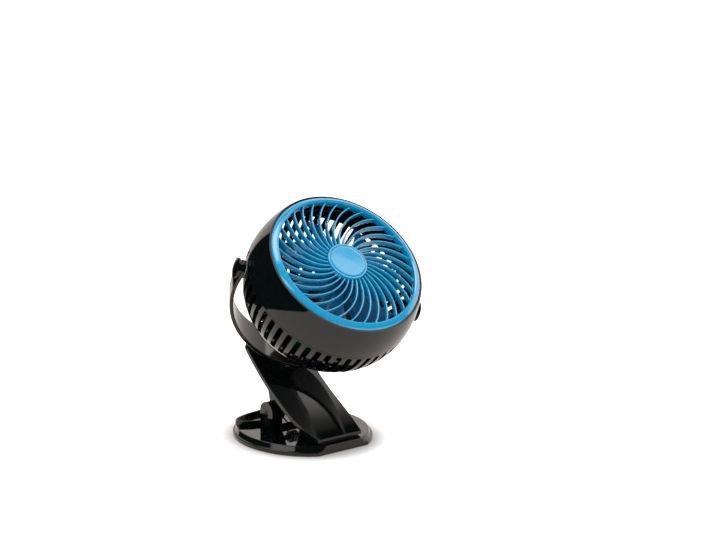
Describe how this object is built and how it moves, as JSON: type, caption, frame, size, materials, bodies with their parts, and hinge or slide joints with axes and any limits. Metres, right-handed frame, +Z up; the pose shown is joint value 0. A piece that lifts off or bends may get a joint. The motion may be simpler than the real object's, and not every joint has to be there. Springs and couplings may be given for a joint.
{
  "type": "clip fan",
  "caption": "Clip fan: barrel head with spiral-vane grille in a U-shaped yoke on a swivel, over a leg hinged to a weighted oval base as a spring clip.",
  "frame": {"origin": "centre of the underside of the sole, 50.9 mm behind the flat front edge of the base", "axes": "+Z up; +Y towards the rounded rear of the base, so the jaw tips face -Y; +X to the right seen from the front"},
  "size_m": [0.135, 0.1554, 0.1833],
  "materials": {
    "black_gloss": "polished moulded plastic",
    "black_satin": "satin moulded plastic",
    "blue_plastic": "semi-gloss moulded plastic",
    "impeller_plastic": "semi-gloss moulded plastic",
    "sole_rubber": "matt",
    "pad_rubber": "matt, ribbed",
    "washer_plastic": "waxy",
    "plain_steel": "zinc plated",
    "spring_steel": "drawn wire",
    "motor_steel": "drawn can",
    "socket_steel": "plated",
    "cell_sleeve": "shrink sleeve",
    "board_green": "solder mask",
    "button_plastic": "polished",
    "lens_plastic": "clear"
  },
  "bodies": {
    "base": {"base_shell": "black_gloss", "base_sole": "sole_rubber", "base_cover": "black_satin", "base_weight": "plain_steel", "lower_jaw_pad": "pad_rubber", "hinge_pin": "plain_steel", "torsion_spring": "spring_steel"},
    "leg": {"clip_leg": "black_gloss", "upper_jaw_pad": "pad_rubber", "swivel_washer": "washer_plastic", "swivel_wave_washer": "spring_steel", "swivel_bolt": "plain_steel", "swivel_nut": "plain_steel"},
    "yoke": {"yoke": "black_gloss", "left_pivot_cap": "black_gloss", "right_pivot_cap": "black_gloss", "left_pivot_washer": "washer_plastic", "right_pivot_washer": "washer_plastic"},
    "head": {"front_band": "black_gloss", "rear_housing": "black_gloss", "front_grille": "blue_plastic", "grille_hub_cap": "blue_plastic", "motor_mount": "black_satin", "motor_can": "motor_steel", "motor_end_cap": "black_satin", "mount_screws": "plain_steel", "left_pivot_screw": "plain_steel", "right_pivot_screw": "plain_steel", "battery_cell": "cell_sleeve", "battery_holder": "black_satin", "circuit_board": "board_green", "usb_socket": "socket_steel", "indicator_lens": "lens_plastic"},
    "rotor": {"impeller": "impeller_plastic", "motor_shaft": "plain_steel"},
    "button": {"power_button": "button_plastic"}
  },
  "joints": [
    {"name": "clip_open", "type": "hinge", "parent": "base", "child": "leg", "pos_m": [0, 0.013, 0.0186], "axis": [-1, 0, 0], "range_deg": [0, 35], "stiffness_Nm_per_rad": 0.8, "springref_deg": -34.38, "deforming": ["torsion_spring"]},
    {"name": "yoke_swivel", "type": "hinge", "parent": "leg", "child": "yoke", "pos_m": [0, 0.0245, 0.0525], "axis": [0, -0.6574, 0.7536], "continuous": true},
    {"name": "head_tilt", "type": "hinge", "parent": "yoke", "child": "head", "pos_m": [0, -0.0323, 0.11761], "axis": [0.8949, -0.3362, -0.2933], "continuous": true},
    {"name": "fan_spin", "type": "hinge", "parent": "head", "child": "rotor", "pos_m": [0, -0.0323, 0.11761], "axis": [-0.028, -0.6984, 0.7151], "continuous": true},
    {"name": "button_press", "type": "slide", "parent": "head", "child": "button", "axis": [-0.028, -0.6984, 0.7151], "range_m": [0, 0.0008], "stiffness_N_per_m": 1000, "springref_m": -0.001}
  ]
}
